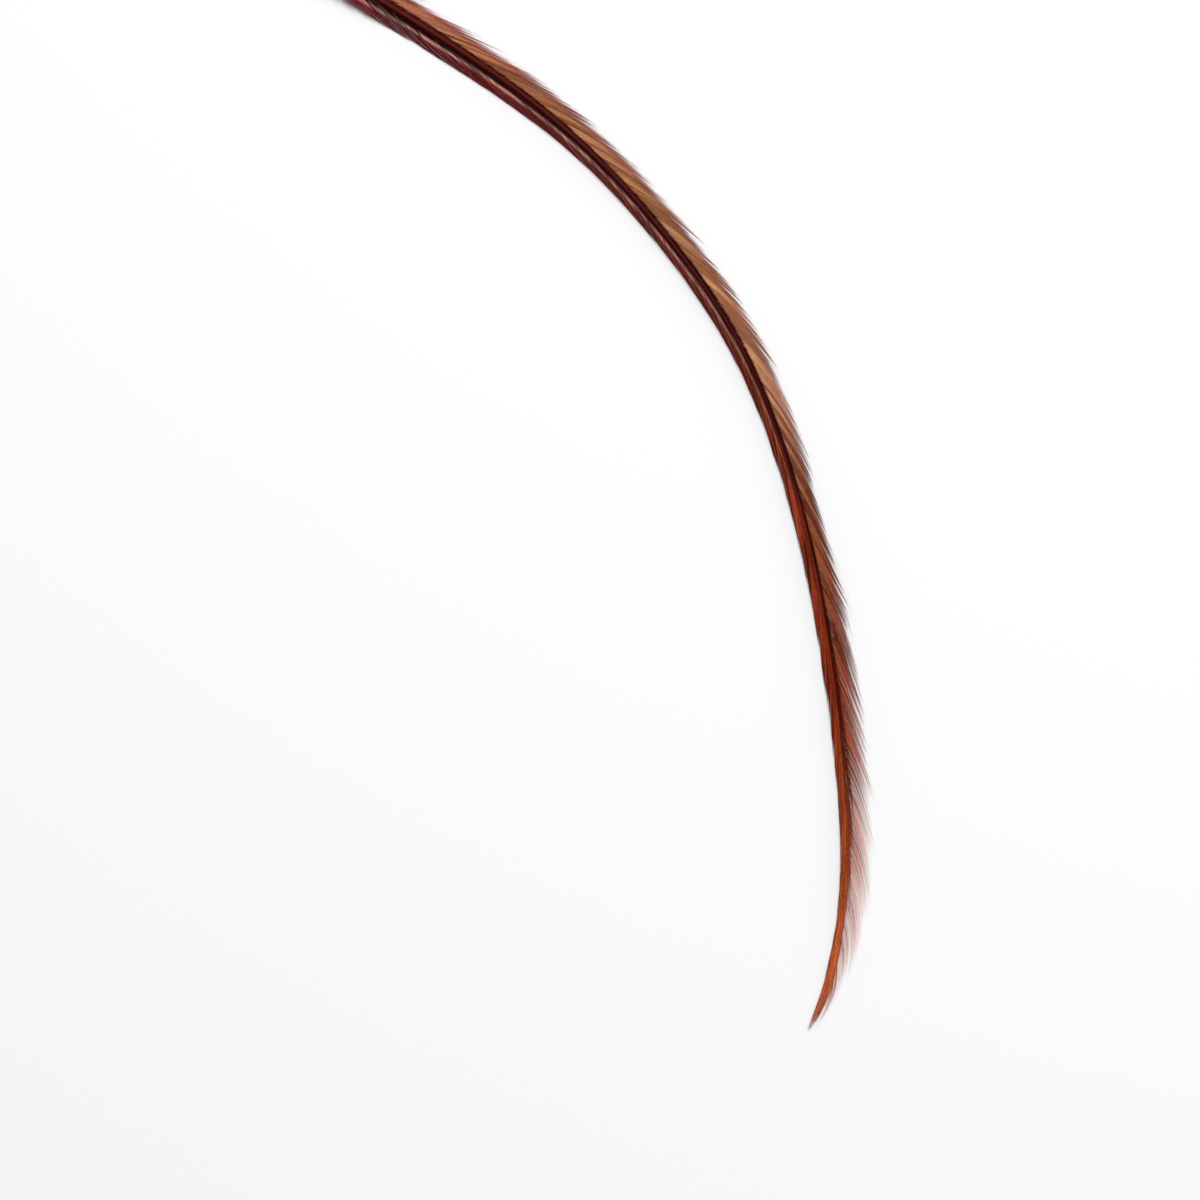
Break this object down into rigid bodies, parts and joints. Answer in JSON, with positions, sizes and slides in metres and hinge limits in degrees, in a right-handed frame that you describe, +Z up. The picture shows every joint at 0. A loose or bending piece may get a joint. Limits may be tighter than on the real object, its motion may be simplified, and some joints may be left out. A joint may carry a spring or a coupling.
{
  "type": "rooster feather",
  "caption": "Long, narrow saddle feather of a rooster, lying flat in a wide bow: tapering shaft, swept vanes slit into pointed locks, and loose down by the quill.",
  "frame": {"origin": "centre of the feather's box in plan, on the surface that it lies on", "axes": "+X from the quill end to the tip, +Z up from the surface, +Y to the outside of the shaft's bow"},
  "size_m": [0.2355, 0.056, 0.0028],
  "materials": {
    "feather": "soft silky sheen, dark maroon to rust brown with gold-tan barbs"
  },
  "bodies": {
    "root": {"feather": "feather"}
  },
  "joints": []
}
